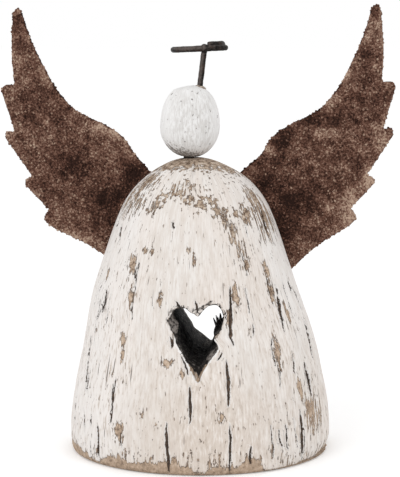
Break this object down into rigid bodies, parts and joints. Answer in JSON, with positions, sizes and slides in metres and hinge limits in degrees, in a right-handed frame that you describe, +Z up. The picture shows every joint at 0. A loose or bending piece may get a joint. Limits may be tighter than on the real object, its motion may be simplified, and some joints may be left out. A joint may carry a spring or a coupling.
{
  "type": "wooden angel figurine",
  "caption": "Standing angel ornament: domed, white-washed wooden body with a heart cut through it, egg-shaped wooden head, wire ring halo and rusted sheet-metal wings.",
  "frame": {"origin": "centre of the flat underside of the body", "axes": "+Z up from the base to the wing tips, front with the heart faces -Y, +X to the viewer's right"},
  "size_m": [0.2007, 0.131, 0.2233],
  "materials": {
    "painted_wood": "chipped white paint over bare wood, matt",
    "stained_wood": "dark stained, matt",
    "head_paint": "white brushed paint, matt",
    "dark_wire": "dark burnt iron, satin",
    "rusted_sheet": "coarse brown rust, rough"
  },
  "bodies": {
    "root": {"body": "painted_wood", "neck_dowel": "stained_wood", "head": "head_paint", "halo_stem": "dark_wire", "halo_ring": "dark_wire", "wing_left": "rusted_sheet", "wing_right": "rusted_sheet"}
  },
  "joints": []
}
